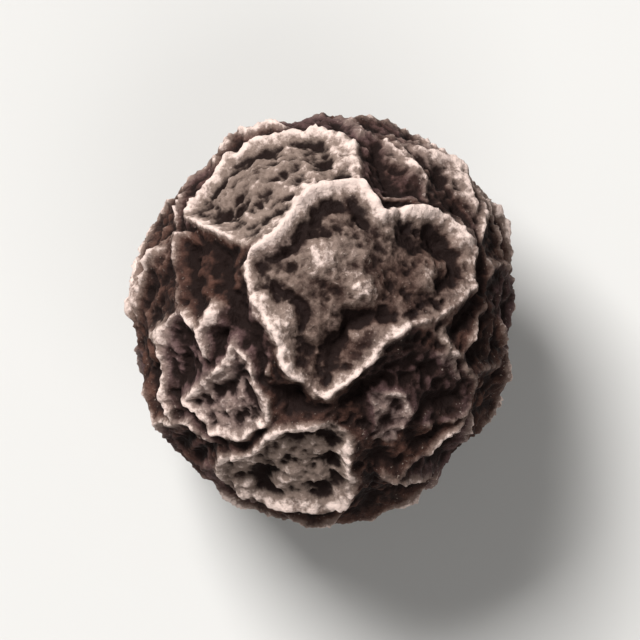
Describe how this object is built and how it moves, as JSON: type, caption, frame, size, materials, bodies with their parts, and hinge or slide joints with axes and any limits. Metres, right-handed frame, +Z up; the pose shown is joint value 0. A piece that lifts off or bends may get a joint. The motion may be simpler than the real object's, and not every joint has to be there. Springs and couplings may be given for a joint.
{
  "type": "black peppercorn",
  "caption": "Dried black pepper fruit: a nearly round, hard, dark brown corn whose skin is shrunk into a raised net of ridges and wrinkles, with a small flat scar at its base.",
  "frame": {"origin": "middle of the corn's outline seen from above, at the height of the flat scar it stands on", "axes": "+Z up from the scar at the base to the tip, +Y along the longest width, +X along the shorter width"},
  "size_m": [0.005, 0.0052, 0.0049],
  "materials": {
    "dried_pepper_skin": "matte"
  },
  "bodies": {
    "root": {"peppercorn": "dried_pepper_skin"}
  },
  "joints": []
}
